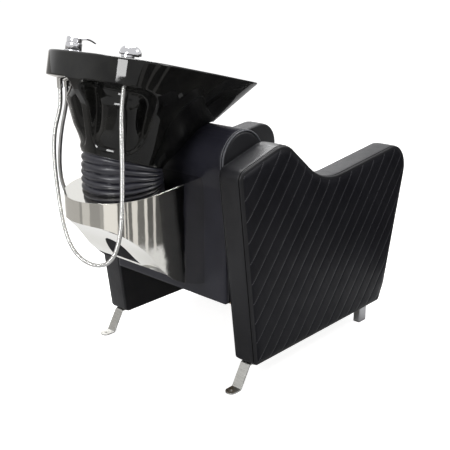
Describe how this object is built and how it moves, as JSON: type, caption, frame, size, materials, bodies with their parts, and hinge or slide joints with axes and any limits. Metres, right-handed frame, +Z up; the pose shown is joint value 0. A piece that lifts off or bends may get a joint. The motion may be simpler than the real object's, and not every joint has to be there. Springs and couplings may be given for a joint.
{
  "type": "hair washing chair with tilting basin",
  "caption": "Upholstered salon wash chair with quilted arm panels and a glazed basin that tilts on a bracket behind the backrest, with bellows, mixer tap and pull-out spray.",
  "frame": {"origin": "on the floor, midway between the floor-bolt holes of the two rear feet", "axes": "+Z up; the sitter faces -Y and the basin is at +Y, behind the backrest; the sitter's right hand is at -X"},
  "size_m": [0.68, 1.1951, 1.0537],
  "materials": {
    "black_leather": "satin",
    "back_leather": "satin",
    "piping": "gloss",
    "frame_wood": "matte",
    "black_steel": "satin",
    "polished_steel": "polished",
    "zinc_steel": "satin",
    "foot_steel": "satin",
    "chrome": "polished",
    "glaze": "gloss",
    "bellows_rubber": "satin",
    "black_plastic": "satin",
    "grey_plastic": "satin",
    "red_plastic": "gloss",
    "hose_chrome": "satin",
    "braid": "satin"
  },
  "bodies": {
    "chair": {"right_arm_core": "frame_wood", "right_arm_band": "black_leather", "right_arm_inner_pad": "black_leather", "right_arm_outer_pad": "black_leather", "right_rear_foot": "foot_steel", "right_front_leg": "chrome", "left_arm_core": "frame_wood", "left_arm_band": "black_leather", "left_arm_inner_pad": "black_leather", "left_arm_outer_pad": "black_leather", "left_rear_foot": "foot_steel", "left_front_leg": "chrome", "foot_screws": "zinc_steel", "leg_glides": "black_plastic", "cross_rails": "black_steel", "seat_board": "frame_wood", "seat_cushion": "black_leather", "front_apron": "black_leather", "back_board": "frame_wood", "back_rear_pad": "back_leather", "back_cushion": "back_leather", "back_end_panels": "back_leather", "back_piping": "piping", "rear_cover": "polished_steel", "cover_screws": "zinc_steel", "cover_shelf": "polished_steel", "bracket_plate": "black_steel", "bracket_bolts": "zinc_steel", "support_arm": "zinc_steel", "yoke": "black_steel", "pivot_pins": "zinc_steel", "pivot_nuts": "zinc_steel", "pivot_washers": "zinc_steel", "bellows": "bellows_rubber", "bellows_lower_ring": "black_plastic", "drain_union": "black_plastic", "drain_hose": "grey_plastic", "supply_block": "zinc_steel", "supply_hose_cold": "braid", "supply_hose_hot": "braid"},
    "bowl": {"basin": "glaze", "hose_glands": "black_plastic", "tilt_plate": "black_steel", "bellows_upper_ring": "black_plastic", "strainer": "chrome", "waste_nut": "grey_plastic", "tail_pipe": "grey_plastic", "mixer_base": "chrome", "mixer_body": "chrome", "mixer_shank": "zinc_steel", "mixer_nut": "zinc_steel", "handset_holder": "chrome", "shower_hose": "hose_chrome"},
    "mixer_swivel": {"mixer_cartridge": "black_plastic"},
    "mixer_handle": {"mixer_lever": "chrome", "mixer_marker": "red_plastic"},
    "handset": {"handset_body": "chrome", "handset_face": "black_plastic", "hose_nut": "chrome"}
  },
  "joints": [
    {"name": "bowl_tilt", "type": "hinge", "parent": "chair", "child": "bowl", "pos_m": [0, 0.143, 0.624], "axis": [-1, 0, 0], "range_deg": [0, 15], "deforming": ["bellows", "drain_hose", "supply_hose_cold", "supply_hose_hot"]},
    {"name": "mixer_turn", "type": "hinge", "parent": "bowl", "child": "mixer_swivel", "pos_m": [0.087, 0.22504, 1.03371], "axis": [0, -0.2215, 0.9751], "range_deg": [-45, 45]},
    {"name": "lever_lift", "type": "hinge", "parent": "mixer_swivel", "child": "mixer_handle", "pos_m": [0.087, 0.22504, 1.03371], "axis": [-1, 0, 0], "range_deg": [0, 25]},
    {"name": "handset_pull", "type": "slide", "parent": "bowl", "child": "handset", "axis": [0, -0.2215, 0.9751], "range_m": [0, 0.045], "deforming": ["shower_hose"]}
  ]
}
